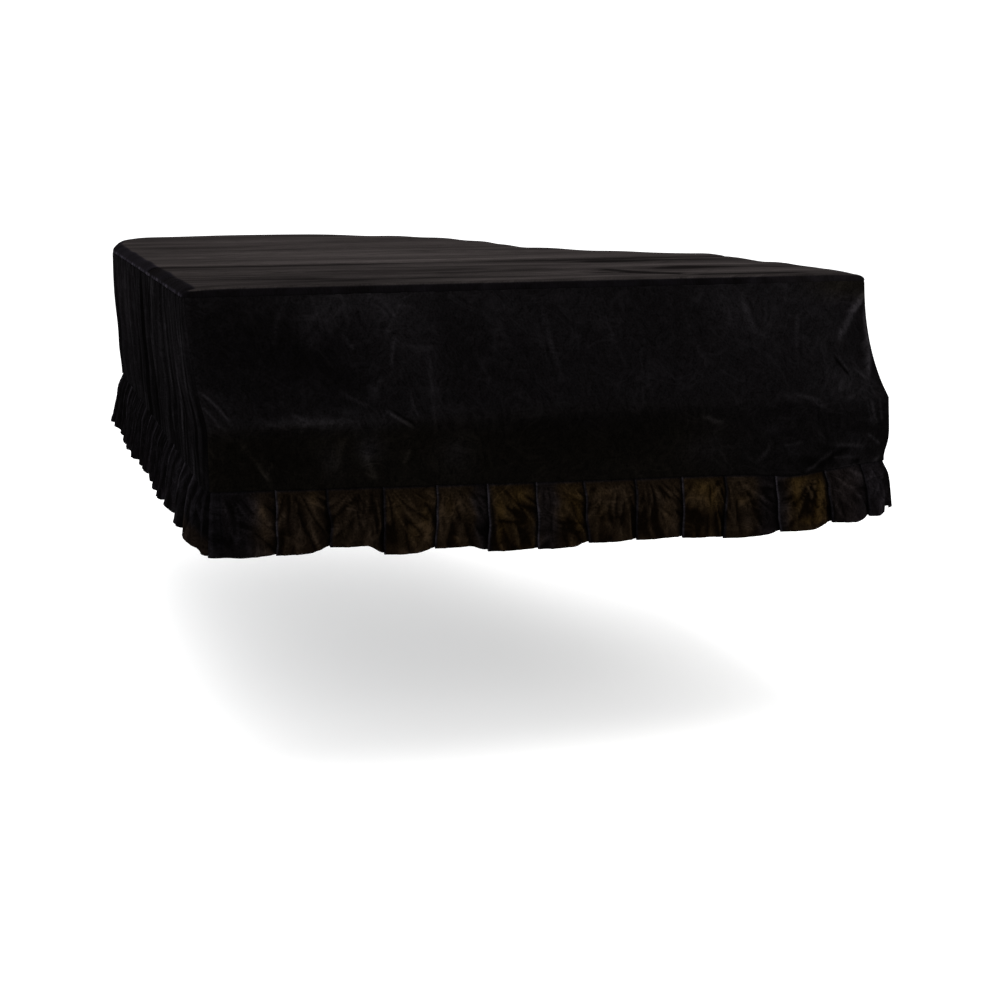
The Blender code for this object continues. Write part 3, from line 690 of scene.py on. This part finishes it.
skirtFront = {
    "rows": 116, "columns": 390,
    "cornerColumns": 8,
    "closer": [(-0.1, 0.45, 1.8), (1.28, 1.7, 2.6)],  # stretches where the columns stand closer
    "base": 0.193,  # the pile's level
    "swells": [  # the solid's broad folds
        (160, 210, 90, 30, 6, 0.9), (330, 120, 60, 90, 4, -0.5), (550, 170, 40, 120, 3, -0.2),
        (740, 240, 220, 30, 4), (1020, 130, 70, 100, -3, 0.4), (1220, 200, 120, 50, 5, 0.5),
        (1370, 330, 100, 35, 7, -0.7), (260, 340, 100, 30, -4, 0.4), (900, 330, 160, 30, 3, 0.1),
    ],
    "creases": [
        (4, 186, 54, 247, -4, 4, 1.6), (6, 214, 30, 250, -2, 4, 1.6), (355, 228, 415, 264, 2, 4, 2.4),
        (407, 96, 385, 156, 3, 4, 1.8), (416, 195, 421, 275, 4, 4, 1.5), (472, 110, 455, 280, 4, 6, 1.1),
        (725, 50, 738, 180, 5, 6, 1.4), (712, 60, 722, 170, 4, 5, 1), (327, 17, 213, 110, 10, 22, 3),
        (368, 170, 330, 215, 4, 12, 2.2), (1492, 35, 1400, 130, -6, 10, 5.5),
        (1483, 130, 1457, 220, -4, 7, 5), (1378, 166, 1412, 206, 2, 5, -1.8),
        (1345, 175, 1420, 240, 6, 10, 1.2), (1180, 30, 1200, 110, 6, 8, 1.8),
        (1305, 80, 1312, 160, 4, 8, 1.6), (1228, 232, 1280, 256, 2, 6, 1.6),
        (1050, 272, 1086, 288, 1, 4, 1.6), (1172, 378, 1212, 334, 6, 5, 1.3),
        (1345, 349, 1440, 358, -4, 6, 2.2), (1290, 396, 1405, 354, 6, 10, -2.4),
        (1292, 404, 1362, 364, 4, 5, 2), (1400, 402, 1480, 380, 4, 5, 2.2),
        (275, 272, 248, 345, 6, 10, 2), (310, 300, 336, 370, 4, 10, 3), (105, 296, 124, 356, 4, 7, 1.4),
        (90, 250, 270, 250, -8, 8, 2),
    ],
    # painted highlights and shade along folds and creases, in percent of light
    "lines": [
        (1498, 34, 1448, 82, -4, 5.5, 130), (1466, 62, 1398, 128, -5, 6.2, 50),
        (1412, 108, 1396, 140, 0, 6, 40), (1493, 62, 1490, 160, 3, 5, 100),
        (1492, 130, 1462, 214, -3, 6, 75), (1376, 164, 1414, 210, 2, 3.2, -26),
        (1384, 162, 1420, 204, 2, 3.2, 26), (1425, 192, 1464, 220, 1, 3.2, 42),
        (6, 190, 56, 248, -4, 2.4, 44), (4, 214, 32, 250, -2, 2.2, 28), (407, 92, 386, 156, 2, 2.6, 30),
        (300, 85, 318, 120, 1, 4, 22), (416, 205, 425, 250, 2, 2.4, 30), (356, 228, 418, 267, 2, 2.6, 42),
        (366, 226, 424, 262, 2, 3, -18), (168, 228, 196, 241, 0, 3, 40),
        (183, 266, 203, 238, -2, 3.4, 28), (96, 314, 122, 354, 3, 2.8, 26),
        (112, 346, 128, 318, 1, 2.8, 20), (388, 336, 406, 304, 2, 3.4, 30),
        (472, 110, 456, 290, 3, 3.5, 20), (480, 150, 470, 250, 3, 3, 12), (728, 40, 742, 180, 4, 2.8, 16),
        (716, 50, 728, 170, 4, 3, -14), (330, 12, 215, 110, 8, 6, -16), (250, 10, 262, 70, 2, 3.5, 20),
        (205, 14, 160, 110, 6, 4, 10), (440, 20, 380, 110, 4, 4, 14), (270, 190, 330, 225, 2, 4, 20),
        (560, 100, 600, 210, 6, 3.5, 10), (640, 60, 600, 150, 5, 4, 10), (860, 60, 900, 190, 8, 4, 10),
        (950, 120, 930, 240, 4, 3.5, 10), (1040, 50, 1080, 200, 6, 4, 10),
        (1180, 28, 1200, 115, 5, 4, 24), (1196, 30, 1214, 110, 5, 3, -16),
        (1304, 85, 1290, 165, 3, 4, 20), (1315, 80, 1300, 160, 3, 3, -14),
        (1250, 238, 1335, 258, -4, 3.6, 34), (1300, 252, 1345, 266, 3, 3.4, 24),
        (1172, 380, 1208, 334, 5, 3, 24), (1236, 346, 1290, 338, 1, 3, 24),
        (1294, 404, 1330, 382, 2, 3.2, 34), (1322, 388, 1364, 360, -2, 4.2, 30),
        (1358, 350, 1440, 358, -2, 3.4, 42), (1356, 378, 1424, 379, 0, 3, 22),
        (1437, 326, 1476, 356, 1, 3.2, 46), (1448, 256, 1463, 308, 2, 3.6, 44),
        (1438, 258, 1450, 306, 1, 2.8, 24), (1470, 248, 1477, 310, 2, 2.8, 30),
        (1482, 378, 1456, 408, 1, 3.6, 60), (1348, 404, 1440, 396, 1, 3, 40),
        (1318, 344, 1362, 368, 0, 10, -10), (1280, 372, 1346, 394, 0, 8, -12),
        (1406, 392, 1432, 386, 0, 4, -20), (1300, 0, 1280, 60, 2, 3.6, 16),
        (278, 268, 250, 350, 5, 5, 10), (312, 296, 340, 372, 4, 5, 12), (100, 250, 290, 252, -6, 5, 16),
        (60, 262, 110, 330, 4, 5, 12), (1040, 270, 1092, 290, 1, 4, 26), (1060, 290, 1100, 280, 1, 3, 20),
    ],
    "patches": [  # where the pile is crushed light, or lies dark
        (420, 75, 70, 70, 13, 0.6), (340, 30, 130, 28, 11), (140, 110, 160, 110, -9, 0.2),
        (270, 165, 90, 50, -4, 0.5), (520, 160, 60, 60, -4), (660, 60, 100, 40, 6, 0.3),
        (760, 120, 130, 60, 2), (820, 45, 60, 40, 6, 0.5), (1140, 45, 60, 60, 12, 0.6),
        (1300, 40, 120, 45, 12), (1220, 110, 80, 50, 7, 0.4), (1380, 120, 70, 80, 8),
        (1400, 230, 70, 45, 14, 0.2), (1100, 180, 80, 40, 3), (275, 246, 60, 20, 12),
        (200, 243, 60, 10, 4), (360, 252, 50, 16, 6), (320, 300, 30, 30, 14), (240, 320, 30, 40, 8, 0.5),
        (500, 320, 40, 40, 10), (1050, 340, 60, 35, 8), (1212, 309, 22, 12, 10),
        (1262, 358, 30, 12, 8, 0.2), (1412, 334, 30, 12, 10, 0.2), (1448, 304, 10, 14, 14),
        (1420, 372, 60, 30, 8), (660, 110, 280, 120, -3), (1220, 310, 250, 90, 3.4),
        (1450, 20, 60, 45, 8), (800, 300, 260, 50, -3), (120, 320, 110, 50, -4),
    ],
    "look": {
        "light": (0.007, 0.0063, 0.0071),
        "secondDark": (0.0005, 0.0004, 0.0003), "secondLight": (0.0078, 0.0066, 0.005),
        "crush": [(78, 2.4), (40, 2), (-48, 2)], "crushDepth": 1.85, "patchScale": 9,
        "veins": (17, 15, 0.55), "grain": (240, 1.25), "everywhere": 0.03, "bumpStrength": 0.3,
        "sheen": 0.003,
        "sheenTint": (0.92, 0.92, 1),
    },
}
skirtVelvet = velvet("skirtVelvet", skirtFront["look"])


def crushed(u, v, seed):
    # the wrinkles of crushed velvet: winding ridges of two sizes, bent by a slower noise
    bentU = u + 0.012 * noise(9 * u, 9 * v, seed)
    bentV = v + 0.012 * noise(9 * u + 5, 9 * v, seed + 1)
    return ridges(26 * bentU, 20 * bentV, seed + 2) + 0.6 * ridges(60 * bentU, 48 * bentV, seed + 3)


def cornerSteps(start, end, columns, fine, closer=()):
    # columns between two corners, closer on the listed stretches and finer beside each corner
    close = np.linspace(0, 0.014, fine)
    line = np.linspace(start, end, 4000)
    count = np.ones(len(line))
    for left, right, times in closer:
        within = smooth(left - 0.02, left + 0.02, line) * fade(right - 0.02, right + 0.02, line)
        count += (times - 1) * within
    count = np.cumsum(count)
    spread = np.interp(np.linspace(count[0], count[-1], columns), count, line)
    return np.concatenate([start + close, spread[2:-2], end - close[::-1]])


def makeSkirtFront():
    part = skirtFront
    s = cornerSteps(*frontLimits, part["columns"], part["cornerColumns"], part["closer"])
    s, bottom, depth = skirtGrid(s, part["rows"])
    x = rimAt(s)[0][..., 0]
    away = smooth(0, 0.1, s) * fade(frontEnd - 0.1, frontEnd, s)
    settle = smooth(0.0145, 0.0645, depth) * fade(bottom - 0.04, bottom, depth)
    nearEnds = smooth(0, 0.012, s) * fade(frontEnd - 0.012, frontEnd, s)
    nearSeams = smooth(0.015, 0.03, depth) * fade(bottom - 0.012, bottom, depth)
    wrinkles = crushed(x, depth, 51)
    patches = blobs(x, depth, part["patches"])
    creases = strokes(x, depth, part["creases"], 1000)
    crushLevel = np.clip(0.45 + 1.6 * patches, 0.15, 1.2)
    out = blobs(x, depth, part["swells"], 1000) * away * settle
    out += (creases + 0.0008 * wrinkles * crushLevel) * nearEnds * nearSeams
    out -= 0.0026 * fade(0.0112, 0.0136, depth)    # sewn in behind the top's edge
    # the pile is painted darker below the break, where the cloth hangs straight: painted shade
    pile = part["base"] + 1.2 * patches - 0.08 * smooth(0.24, 0.27, depth) + 0.08 * wrinkles * crushLevel
    # raised creases painted lighter and sunken ones darker, and the lines: painted highlights and shade
    pile += np.clip(creases, -0.004, 0.004) * 70 + strokes(x, depth, part["lines"])
    # a painted highlight on the rounded left corner
    pile = np.maximum(pile + 0.1 * fade(0, 0.015, s), 0.05)
    # the second, warmer colour: painted shade below the break, which is softer towards the right; it is
    # put in that corner too
    loose = smooth(0.35, 0.75, x)
    second = 0.8 * smooth(0.235 - 0.02 * loose, 0.285 + 0.035 * loose, depth)
    second = second * (1 - 0.85 * smooth(0.95, 1.25, x))
    second = np.clip(second * (1 - 6 * np.clip(patches, 0, 0.16)), 0, 1)
    second = np.clip(second + 0.8 * smooth(1.3, 1.42, x) * fade(0.02, 0.07, depth), 0, 1)
    hangCloth("skirtFront", "skirt_front", s, out, depth, x, pile, second,
              skirtVelvet)


makeSkirtFront()
print("front drop made")


# Side skirt.

skirtSide = {
    "rows": 40, "columns": 1050, "cornerColumns": 6,
    "gather": 0.085, "gatherSpread": 0.45,  # mean width of the big folds, and how much it varies
    "ripple": 0.03, "rippleHeight": 0.0042,  # of the ripples on them
    "tuckWidth": 0.013, "tuckHeight": 0.0016,  # and of the fine gathers under the top's edge
    "lines": 28,  # how many painted highlight lines to a metre at a front corner; fewer further back
    "thinning": 0.8,  # how fast they grow fewer
    "base": 0.16,  # the pile's level
    "look": {**skirtFront["look"], "crush": [(88, 6), (80, 4)], "veins": (17, 15, 0.5)},
}
sideVelvet = velvet("sideVelvet", skirtSide["look"])


def makeSkirtSide():
    part, (start, end) = skirtSide, sideLimits
    s = cornerSteps(start - cover["underlap"], end + cover["underlap"], part["columns"],
                    part["cornerColumns"])
    s, bottom, depth = skirtGrid(s, part["rows"])
    drift = s + 0.01 * noise(4 * s, 3.5 * depth, 61) * smooth(0.02, 0.15, depth)
    big = foldWave(s, unevenEdges(start, end, part["gather"], part["gatherSpread"], 4), 0.55, 9)
    ripple = folds(drift, start, end, part["ripple"], 62)
    tucks = folds(drift, start, end, part["tuckWidth"], 64)
    # how many lines come before a place, as they stand closer near the front corners: lines * (ln(1 +
    # thinning * the distance from one corner) - ln(1 + thinning * that from the other)) / thinning
    near, far = (np.log(1 + part["thinning"] * np.maximum(away, 0))
                 for away in (drift - start, end - drift))
    number = part["lines"] / part["thinning"] * (near - far)

    def lines(mean, power, seed):
        shown = smooth(-0.5, 0.2, noise(7 * s, 5 * depth, seed + 2))
        return folds(number, number.min(), number.max(), mean, seed, 0.25)**power * shown

    fullness = 0.0015 + 0.014 * smooth(0, 0.19, depth)
    out = fullness * big * (1 - 0.45 * smooth(0.28, 0.37, depth))
    fades = 0.75 + 0.5 * noise(8 * s, 5 * depth, 66)
    rippled = part["rippleHeight"] * smooth(0.012, 0.07, depth) * (1 - 0.4 * smooth(0.3, 0.37, depth))
    tucked = part["tuckHeight"] * (1 - 0.75 * smooth(0.06, 0.16, depth) * fade(0.28, 0.34, depth))
    fine = rippled * (ripple - 0.5) * fades + tucked * (tucks - 0.5) * fades
    corners = smooth(0, 0.02, s - start) * smooth(0, 0.02, end - s)
    out = (out + fine) * corners - 0.003 * fade(0.0105, 0.015, depth) - underlap(s, start, end)
    # painted light and shade: lighter on the crests of the big folds and ripples, highlight lines on thin
    # gathers with shade lines between them, and darker in the big folds' troughs
    pile = part["base"] + 0.06 * big * smooth(0.02, 0.12, depth) + 0.1 * ripple**1.6 * fades
    pile += 0.075 * fade(0.12, 0.26, depth)    # lighter towards the top
    pile += (1.45 * lines(0.9, 4, 68) + lines(0.6, 3, 84)) * fades
    pile -= 0.75 * lines(0.8, 2.6, 88) + 0.08 * fade(0.12, 0.4, big)
    pile += 0.12 * noise(14 * s, 2 * depth, 67)
    pile += 0.24 * smooth(0.9, 1.9, rimEnd - s) * fade(0.05, 0.3, depth)    # lighter further back
    # painted highlight and shade on the fine gathers under the top's edge
    pile += 0.34 * (tucks - 0.4) * fade(0.02, 0.05, depth)
    # a painted highlight on the rounded left front corner
    pile += 0.22 * fade(0.02, 0.09, end - s) * (0.6 + 0.6 * noise(90 * s, 6 * depth, 90))
    hangCloth("skirtSide", "skirt_side", s, out, depth, s,
              np.maximum(pile, 0.04), 0, sideVelvet)


makeSkirtSide()
print("side skirt made")


# Ruffle.

ruffle = {
    "fanSeed": 21, "fanCount": 5,
    "lap": 0.0064,  # how far a fold laps back over the panel to its left
    "pleatHeight": 0.0085,  # how far a knife pleat's fold stands over the panel it laps
    "frontFlare": 0.004, "sideFlare": 0.009, "cornerFlare": 0.014,  # how far the hem stands out
    "tailFlare": 0.014, "tailPlace": 1.95, "tailLength": 0.3,  # and how much more along the tail
    "cornerWidth": 0.0141,  # finer columns beside a corner
    # a pleat's section: percent of the way across the pleat, lap to the right, percent of its height
    "section": [
        (0, -6.4, 90), (0, -5, 103), (5, 0, 104), (20, 0, 90), (36, 0, 72), (52, 0, 57), (68, 0, 42),
        (82, 0, 20), (93, 0, 2), (100, 4.5, 0), (100, 7.8, 12), (100, 8, 32), (100, 4, 44), (100, -3, 60),
        (100, -6.4, 90),
    ],
    # the front's pleats: fold edge x, depth of the hem there, swell and percent of painted glow (light
    # through the cloth) of the panel to its right, how far the edge leans to the right at the hem, and
    # percent of painted highlight on the edge
    "front": [
        (30, 494, 16, 60, 0, 0), (138, 496, 12, 72, -4, 100), (240, 487, 20, 70, 3, 10),
        (355, 510, 17, 78, -6, 20), (466, 506, 12, 74, -10, 70), (573, 520, 19, 88, -4, 120),
        (679, 524, 14, 84, -2, 100), (784, 519, 18, 74, 6, 30), (900, 521, 13, 72, -4, 20),
        (1008, 524, 20, 84, -5, 80), (1109, 532, 15, 72, -8, 10), (1231, 528, 13, 84, 4, 120),
        (1351, 516, 22, 27, 16, 40), (1440, 508, 26, 12, 10, 10),
    ],
    "dark": [  # painted shadows of the piano's legs and lyre, stretches of the front where no light comes through: centre x, half width, percent
        (50, 42, 90), (554, 20, 75), (692, 24, 70), (1214, 36, 80), (1470, 60, 50),
    ],
    "glints": [  # painted glints and shade in the light that comes through the front's panels
        (200, 440, 60, 90, -13), (310, 440, 60, 90, -11), (103, 413, 10, 24, 60), (108, 458, 12, 20, 35),
        (160, 430, 24, 30, -22), (206, 392, 10, 20, 35), (300, 420, 18, 30, -10), (374, 425, 10, 30, 20),
        (405, 470, 14, 22, 25), (432, 440, 10, 34, 30), (482, 426, 12, 22, 35), (498, 452, 20, 20, -12),
        (490, 490, 14, 10, 25, 0.3), (590, 439, 12, 30, 30), (632, 414, 18, 16, 40),
        (590, 480, 14, 16, 25), (640, 492, 16, 14, -25), (752, 428, 18, 22, 35), (764, 470, 10, 30, 45),
        (728, 492, 18, 14, -25), (822, 420, 24, 10, 20, 0.2), (814, 466, 12, 26, 25),
        (850, 455, 18, 30, -15), (962, 470, 14, 26, 20), (930, 440, 20, 24, -18), (1046, 424, 28, 18, 35),
        (1068, 450, 16, 24, 30), (1040, 490, 18, 16, -30), (1140, 455, 16, 10, 40, 0.2),
        (1150, 490, 24, 20, -25), (1272, 448, 10, 30, 70), (1284, 424, 18, 10, 50),
        (1300, 462, 14, 26, -25), (1331, 455, 10, 30, 75), (1326, 492, 12, 18, 95),
        (1300, 508, 22, 8, 60), (1400, 440, 26, 18, 16, 0.4), (1476, 470, 10, 22, 30, -0.4),
        (1412, 414, 20, 10, -20), (1460, 424, 14, 12, -20),
    ],
    "lines": [  # and their creases, raised a little and painted as highlight or shade
        (58, 440, 88, 448, 1, 3.5, 40), (46, 408, 70, 424, 2, 3, 25), (196, 430, 214, 490, 3, 4, 45),
        (296, 410, 256, 468, 2, 3.6, 45), (252, 400, 250, 462, 2, 3.6, 25),
        (446, 430, 420, 498, -5, 4, 60), (472, 430, 520, 412, 2, 3.4, 35),
        (476, 442, 522, 424, 2, 3.4, 25), (486, 484, 520, 492, 1, 3.4, 35),
        (596, 427, 648, 466, 1, 3.4, -60), (574, 458, 646, 469, 0, 3, -45),
        (622, 404, 650, 462, 2, 3, -35), (610, 420, 652, 456, 1, 2.8, 35),
        (712, 472, 774, 480, 0, 3.6, -50), (722, 440, 760, 420, 2, 3, 30),
        (740, 492, 770, 498, 1, 3, -40), (804, 420, 868, 410, 1, 3.2, 30), (804, 434, 868, 440, 1, 3, 24),
        (820, 474, 866, 466, 1, 3, -24), (944, 414, 982, 446, 2, 3.6, -45),
        (950, 408, 990, 446, 2, 3, 30), (938, 452, 972, 486, 2, 3.4, 45),
        (946, 452, 980, 480, 2, 2.8, -40), (1020, 436, 995, 404, 0, 2.8, 20),
        (1062, 452, 1098, 420, -2, 3.4, 55), (1058, 444, 1092, 412, -2, 2.8, -40),
        (1026, 440, 1052, 446, 1, 3.6, 45), (1034, 428, 1076, 408, 1, 3, 30),
        (1122, 470, 1172, 450, -4, 4, 45), (1130, 412, 1150, 400, 0, 3, 20),
        (1150, 458, 1180, 476, 2, 3.4, 30), (1296, 430, 1314, 464, 1, 3.6, 90),
        (1304, 430, 1322, 464, 1, 3, -45), (1316, 468, 1340, 500, 1, 3.4, -70),
        (1326, 462, 1344, 490, 1, 3, -50), (1362, 412, 1424, 458, 3, 3.4, 40),
        (1366, 424, 1420, 446, 3, 3, 30), (1370, 440, 1400, 476, 3, 3.4, 25),
        (1362, 470, 1384, 512, 2, 3.6, 35), (1488, 444, 1466, 490, -4, 4.5, 80),
        (1452, 420, 1482, 440, 2, 3.2, 30), (1456, 460, 1476, 500, 2, 3.6, 20),
        (1396, 405, 1446, 432, -3, 3.4, 40), (1462, 402, 1440, 450, 3, 3.2, 45),
        (1484, 420, 1452, 470, 3, 3.4, 40), (1404, 452, 1436, 470, 2, 3.2, 30),
    ],
    "sideHem": [  # distance along the rim, depth
        (1460, 490), (1600, 514), (1850, 534), (2500, 528), (3200, 516), (4300, 508), (4900, 518),
        (5300, 524), (5800, 506), (6300, 498), (6550, 487), (6800, 492),
    ],
    "sidePleat": 0.118,
    # points on each stretch of a section, rows, the pile's level, strength of the fans of wrinkles, width
    # and painted highlight of a fold's edge, how dark the painted shade in the recess beside it is and
    # where across a panel it starts, how far edges wander, width and strength of the stripes of painted
    # light and shade
    "frontFinish": {"steps": 4, "rows": 58, "base": 0.15, "fans": 0.7, "edgeWidth": 0.0018,
                    "edgeLight": 1.5, "recessShade": 0.6, "recessFrom": 0.9, "wander": 0.004,
                    "stripe": 0.05, "stripes": 0},
    "sideFinish": {"steps": 2, "rows": 34, "base": 0.19, "fans": 0.6, "edgeWidth": 0.01,
                   "edgeLight": 1.2, "recessShade": 0.9, "recessFrom": 0.74, "wander": 0.01,
                   "stripe": 0.05, "stripes": 0.45},
    "look": {
        "light": (0.0066, 0.0058, 0.007),
        # the second colours: a painted warm glow of light that comes through the cloth
        "secondDark": (0.0009, 0.0005, 0.0002), "secondLight": (0.0089, 0.0053, 0.0019),
        "crush": [(80, 2), (35, 2.4), (-35, 2.4)], "crushDepth": 1.6, "patchScale": 16,
        "veins": (24, 20, 0.9), "grain": (260, 1.4), "everywhere": 0.05,
        "bumpStrength": 0.35, "sheen": 0.002, "sheenTint": (1, 0.92, 0.84),
    },
}
ruffleVelvet = velvet("ruffleVelvet", ruffle["look"])


def makeRuffle(name, node, edges, hems, flares, swells, glows, leans, lights, limits, finish, past):
    # each pleat's columns as rows of values: place along the rim, height of the fold and so on
    part = ruffle
    section = through(np.array(part["section"]) / (100, 1000, 100), finish["steps"])[:-1]
    across, widths = section[:, 0], np.diff(edges)
    s = edges[:-1, None] + widths[:, None] * across + section[:, 1]
    fromLeft = s - edges[:-1, None] + part["lap"]
    source = np.random.RandomState(part["fanSeed"]).uniform(-0.1, 1.1, len(widths)) * widths
    columns = np.stack(np.broadcast_arrays(
        s, section[:, 2], hems[:-1, None] + np.diff(hems)[:, None] * smooth(0.55, 1, across),
        swells[:, None] * np.sin(np.pi * np.clip(across * 0.9 + 0.08, 0, 1)), across,
        glows[:, None] * smooth(0.0018, 0.005, fromLeft), across < 0.999, fromLeft, source[:, None],
        np.arange(len(widths))[:, None])).reshape(10, -1)
    # the columns between the two corners, and finer ones beside each
    close = np.append(past, np.linspace(0, part["cornerWidth"], 5))
    inside = (columns[0] > limits[0] + close[-1]) & (columns[0] < limits[1] - close[-1])
    s = np.concatenate([limits[0] + close, columns[0, inside], (limits[1] - close)[::-1]])
    ends = [np.repeat(columns[:, k:k + 1], len(close), 1) for k in (0, columns.shape[1] - 1)]
    columns = np.hstack([ends[0], columns[:, inside], ends[1]])
    fold, hem, swell, across, glow, layer, fromLeft, source, number = columns[1:]
    # the shape: folds and swells that grow towards the hem
    top0 = alongTable(ruffleSeam, s) + cover["gap"] / 2
    share = np.linspace(-0.05, 1, finish["rows"])[:, None]
    depth = top0 + share * (hem - top0)
    below = np.maximum(share, 0)
    flare = np.interp(s, edges, flares)
    out = part["pleatHeight"] * fold * (0.65 + 0.9 * below) + flare * below**0.6 + swell * below**1.3
    fromCorner = np.minimum(s - limits[0], limits[1] - s)
    wander = finish["wander"] * noise(9 * s, 2.5 * share, 77) * smooth(0, 0.3, share)
    lean = np.interp(s, edges, leans) * below**1.3 + wander
    placed = s + lean * smooth(0.004, 0.05, fromCorner)
    away = smooth(close[-1], 0.06, fromCorner)
    out = out * away + part["cornerFlare"] * below * (1 - away)
    out -= (0.0033 + 0.0045 * away) * fade(0, 0.3, share) + len(past) * underlap(s, *limits)
    puckers = noise(s / 0.011, 6 * share, 71) * fade(0.05, 0.55, share) * smooth(0, 0.06, share)
    # wrinkles that spread from one place at the top of each panel
    angle = np.arctan2(fromLeft - source, depth - top0 + 0.03)
    spread = np.hypot(fromLeft - source, depth - top0 + 0.03)
    fans = ridges(part["fanCount"] * angle + 7 * number, 11 * spread + 3 * number, 75)
    hollows = ridges(part["fanCount"] * 0.8 * angle + 5 * number, 9 * spread + 2 * number, 76)
    fans, hollows = fans * finish["fans"], hollows * finish["fans"]
    slant = crushed(0.8 * s + 0.5 * depth, 0.8 * depth - 0.35 * s, 72)
    x = placed - cornerArc + cover["cornerRadius"]
    atFront = 1 if limits == frontLimits else 0
    creased = strokes(x, depth, part["lines"]) * atFront
    wrinkled = 0.001 * puckers + (0.001 * slant + 0.004 * (fans - hollows)) * smooth(0.05, 0.4, share)
    wrinkled = wrinkled + 0.0022 * np.clip(creased, -0.6, 0.6)
    onPanel = smooth(0, 0.08, across) * fade(0.85, 0.95, across)
    out += wrinkled * smooth(0, 0.02, fromCorner) * onPanel
    # painted light: highlights along the fold edges and at the corner, and the glow where light comes
    # through
    width = finish["edgeWidth"]
    edgeHighlight = layer * bell(fromLeft, 0.3 * width, width) * lights[number.astype(int)]
    edgeHighlight = edgeHighlight * smooth(0.01, 0.022, fromCorner) * (0.75 + 0.6 * noise(20 * s, 9 * share, 78))
    corner = bell(s, limits[0] + 0.002, 0.0022) * atFront
    # painted shadows of the piano's legs and lyre on the light that comes through
    shade = 1
    raggedX = x + 0.008 * noise(30 * x, 30 * depth, 79)
    for center, half, percent in part["dark"]:
        legShadow = np.exp(-((raggedX - center / 1000) / (half / 1000))**4)
        shade = shade * (1 - atFront * percent / 100 * legShadow)
    patches = 0.5 + 0.5 * noise(16 * s, 18 * depth, 74)
    glints = blobs(x, depth, part["glints"]) * atFront
    # painted shade in the recess beside each fold
    ragged = across + 0.03 * noise(30 * s, 20 * depth, 73)
    recessShade = smooth(finish["recessFrom"], finish["recessFrom"] + 0.08, ragged)
    recessShade = recessShade * smooth(0.02, 0.05, limits[1] - s)
    recessShade = recessShade * (1 - 0.8 * atFront * smooth(1.38, 1.41, x))    # the last pleat is crushed flat
    # the painted glow of light through the cloth: on the front's panels, and low on the side's
    glowThrough = np.clip(glow * shade * (1 - 0.7 * recessShade), 0, 1) * smooth(0, 0.06, share)
    glowThrough = glowThrough * (atFront + (1 - atFront) * smooth(0.64, 0.8, share + 0.1 * noise(30 * s, 0, 83)))
    glowThrough = np.clip(glowThrough * (1 + 0.5 * glints), 0, 1)
    stripes = folds(placed, *limits, finish["stripe"], 81)
    # the pile is lighter where the painted glow comes through
    pile = finish["base"] + 0.09 * glowThrough + 0.22 * glowThrough * patches + 0.1 * slant * (0.35 + 0.65 * glowThrough)
    # stripes and fans of wrinkles: painted highlights on their ridges and painted shade between them
    pile += finish["stripes"] * (stripes**3 - 0.4 * (1 - stripes)**3)
    pile += (1.1 * fans - 0.9 * hollows) * (0.3 + 0.7 * glowThrough) * smooth(0.03, 0.2, share)
    pile += 0.2 * smooth(1.36, 1.4, x) * atFront
    pile = np.maximum(pile + (glints + 1.4 * creased) * (0.45 + 0.55 * glowThrough), 0.05)
    pile += 0.16 * bell(share, 0.035, 0.022)    # a painted highlight along the seam
    pile = pile * (1 - finish["recessShade"] * recessShade) + finish["edgeLight"] * edgeHighlight * (1 - 0.3 * share)
    # a painted highlight on the side's first panel at the right front corner, and painted shade on the
    # layer under each fold
    turned = 1.8 * (1 - atFront) * fade(0, 0.07, s - limits[0]) * (0.6 + 0.5 * patches)
    pile = np.maximum((pile + 0.3 * corner + turned) * (0.45 + 0.55 * layer), 0.03)
    hangCloth(name, node, placed, out, depth, s, pile, glowThrough, ruffleVelvet)


def makeRuffleFront():
    units = (1000, 1000, 1000, 100, 1000, 100)    # glows and lights are in percent
    x, hems, swells, glows, leans, lights = (np.array(ruffle["front"]) / units).T
    edges = np.append(x, cover["width"] - 0.004) - cover["cornerRadius"] + cornerArc
    hems = np.append(hems, ruffle["sideHem"][0][1] / 1000)
    makeRuffle("ruffleFront", "ruffle_front", edges, hems, 0 * edges + ruffle["frontFlare"], swells, glows,
               np.append(leans, 0), lights, frontLimits, ruffle["frontFinish"], [])


def makeRuffleSide():
    edges = unevenEdges(*sideLimits, ruffle["sidePleat"], 0.28, 12)
    chance, count = np.random.RandomState(15), len(edges) - 1
    hems = alongTable(ruffle["sideHem"], edges) + np.append(0, chance.uniform(-0.008, 0.008, count))
    swells = chance.uniform(0.008, 0.022, count)
    atTail = bell(edges, rimEnd - ruffle["tailPlace"], ruffle["tailLength"])
    flares = ruffle["sideFlare"] + ruffle["tailFlare"] * atTail
    glows = chance.uniform(0, 0.06, count)
    glows[-1] = 0.5    # light comes through beside the left front corner
    lights = chance.uniform(0.4, 1.2, count)
    makeRuffle("ruffleSide", "ruffle_side", edges, hems, flares, swells, glows, 0 * edges, lights,
               sideLimits, ruffle["sideFinish"], [-cover["underlap"]])


makeRuffleFront()
makeRuffleSide()
print("ruffle made")
